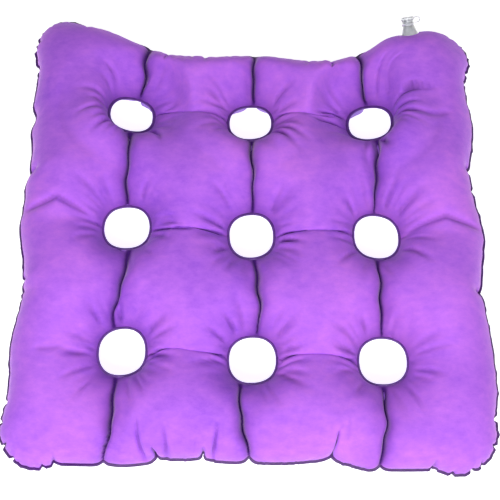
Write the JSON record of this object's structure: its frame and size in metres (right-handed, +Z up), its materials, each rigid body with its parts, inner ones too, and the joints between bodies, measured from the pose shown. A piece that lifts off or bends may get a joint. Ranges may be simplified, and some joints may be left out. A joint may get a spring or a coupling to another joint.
{
  "type": "inflatable seat cushion",
  "caption": "Square air-filled seat cushion of two flocked film sheets welded round the edge and round through holes, with four front-to-back chambers and a soft inflation valve.",
  "frame": {"origin": "on the surface the cushion rests on, under the middle of its box", "axes": "+X to the right as seen from the front, +Y to the back where the valve is, +Z up"},
  "size_m": [0.406, 0.4048, 0.068],
  "materials": {
    "flocked_film": "velvety flock",
    "plain_film": "smooth satin",
    "welded_film": "flattened by the weld, satin",
    "clear_vinyl": "clear and soft"
  },
  "bodies": {
    "cushion": {"top_sheet": "flocked_film", "bottom_sheet": "plain_film", "edge_weld": "welded_film", "hole_weld_front_left": "welded_film", "hole_weld_front_centre": "welded_film", "hole_weld_front_right": "welded_film", "hole_weld_middle_left": "welded_film", "hole_weld_middle_centre": "welded_film", "hole_weld_middle_right": "welded_film", "hole_weld_back_left": "welded_film", "hole_weld_back_centre": "welded_film", "hole_weld_back_right": "welded_film", "valve_flange": "clear_vinyl", "valve_skirt": "clear_vinyl"},
    "stem": {"valve_stem": "clear_vinyl", "plug_strap": "clear_vinyl"},
    "plug": {"valve_plug": "clear_vinyl"},
    "flap": {"valve_check_flap": "clear_vinyl"}
  },
  "joints": [
    {"name": "stem_push", "type": "slide", "parent": "cushion", "child": "stem", "axis": [-0.1737, 0.8106, 0.5592], "range_m": [-0.007, 0], "deforming": ["valve_skirt"]},
    {"name": "plug_pull", "type": "slide", "parent": "stem", "child": "plug", "axis": [-0.1737, 0.8106, 0.5592], "range_m": [0, 0.009], "deforming": ["plug_strap"]},
    {"name": "flap_open", "type": "hinge", "parent": "stem", "child": "flap", "pos_m": [0.139, 0.18205, 0.04956], "axis": [-0.1171, 0.5468, -0.829], "range_deg": [0, 60]}
  ]
}
